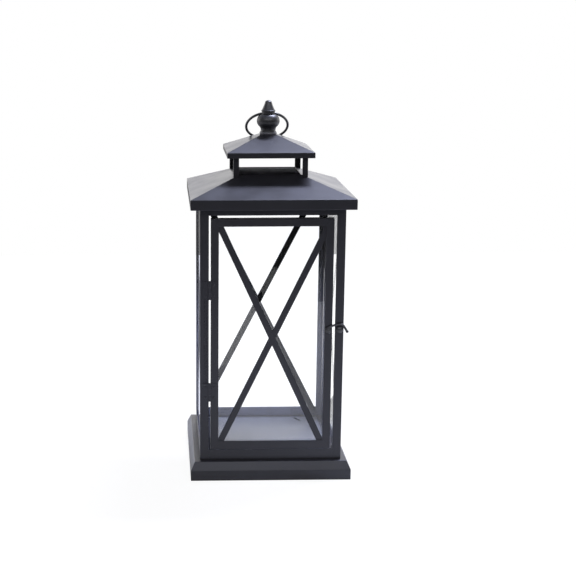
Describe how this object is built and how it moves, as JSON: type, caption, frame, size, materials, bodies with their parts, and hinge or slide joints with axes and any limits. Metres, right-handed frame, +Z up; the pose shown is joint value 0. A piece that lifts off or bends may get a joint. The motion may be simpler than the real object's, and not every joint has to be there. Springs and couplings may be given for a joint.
{
  "type": "candle lantern",
  "caption": "Square black metal candle lantern with crossed braces over clear glass, a hinged hook-latched door, a vented double roof, a turned finial and a carrying ring.",
  "frame": {"origin": "middle of the base's underside, on the surface it stands on", "axes": "+Z up, the door faces -Y and is hinged on the -X side"},
  "size_m": [0.1746, 0.1746, 0.4055],
  "materials": {
    "black_powder_coat": "satin",
    "black_enamel": "gloss",
    "zinc_plated": "satin",
    "clear_glass": "clear"
  },
  "bodies": {
    "frame": {"base_plinth": "black_powder_coat", "floor_plate": "black_powder_coat", "post_front_left": "black_powder_coat", "post_front_right": "black_powder_coat", "post_back_right": "black_powder_coat", "post_back_left": "black_powder_coat", "bottom_rail_front": "black_powder_coat", "bottom_rail_right": "black_powder_coat", "bottom_rail_back": "black_powder_coat", "bottom_rail_left": "black_powder_coat", "top_rail_front": "black_powder_coat", "top_rail_right": "black_powder_coat", "top_rail_back": "black_powder_coat", "top_rail_left": "black_powder_coat", "brace_through_right": "black_powder_coat", "brace_cut_right": "black_powder_coat", "glass_right": "clear_glass", "glass_tabs_right": "black_powder_coat", "brace_through_back": "black_powder_coat", "brace_cut_back": "black_powder_coat", "glass_back": "clear_glass", "glass_tabs_back": "black_powder_coat", "brace_through_left": "black_powder_coat", "brace_cut_left": "black_powder_coat", "glass_left": "clear_glass", "glass_tabs_left": "black_powder_coat", "hinge_leaf_frame_lower": "black_powder_coat", "hinge_leaf_frame_upper": "black_powder_coat", "hinge_pin_lower": "black_powder_coat", "hinge_pin_upper": "black_powder_coat", "hinge_rivets_frame": "black_powder_coat", "latch_keeper": "black_powder_coat", "main_roof": "black_powder_coat", "chimney_post_front_left": "black_powder_coat", "chimney_post_front_right": "black_powder_coat", "chimney_post_back_right": "black_powder_coat", "chimney_post_back_left": "black_powder_coat", "cap_roof": "black_powder_coat", "finial": "black_enamel", "finial_stud": "zinc_plated", "finial_washer": "zinc_plated", "finial_nut": "zinc_plated"},
    "door": {"door_stile_hinge": "black_powder_coat", "door_stile_latch": "black_powder_coat", "door_rail_bottom": "black_powder_coat", "door_rail_top": "black_powder_coat", "door_brace_through": "black_powder_coat", "door_brace_cut": "black_powder_coat", "door_glass": "clear_glass", "door_glass_tabs": "black_powder_coat", "hinge_leaf_door_lower": "black_powder_coat", "hinge_leaf_door_upper": "black_powder_coat", "hinge_rivets_door": "black_powder_coat", "latch_pivot": "black_powder_coat"},
    "latch": {"latch_hook": "black_enamel"},
    "ring": {"carry_ring": "black_enamel"}
  },
  "joints": [
    {"name": "door_swing", "type": "hinge", "parent": "frame", "child": "door", "pos_m": [-0.06665, -0.0785, 0.16], "axis": [0, 0, -1], "range_deg": [0, 160]},
    {"name": "latch_lift", "type": "hinge", "parent": "door", "child": "latch", "pos_m": [0.0606, -0.0786, 0.1664], "axis": [0, -1, 0], "range_deg": [0, 170]},
    {"name": "ring_swing", "type": "hinge", "parent": "frame", "child": "ring", "pos_m": [0, 0, 0.3914], "axis": [1, 0, 0], "range_deg": [0, 265]}
  ]
}
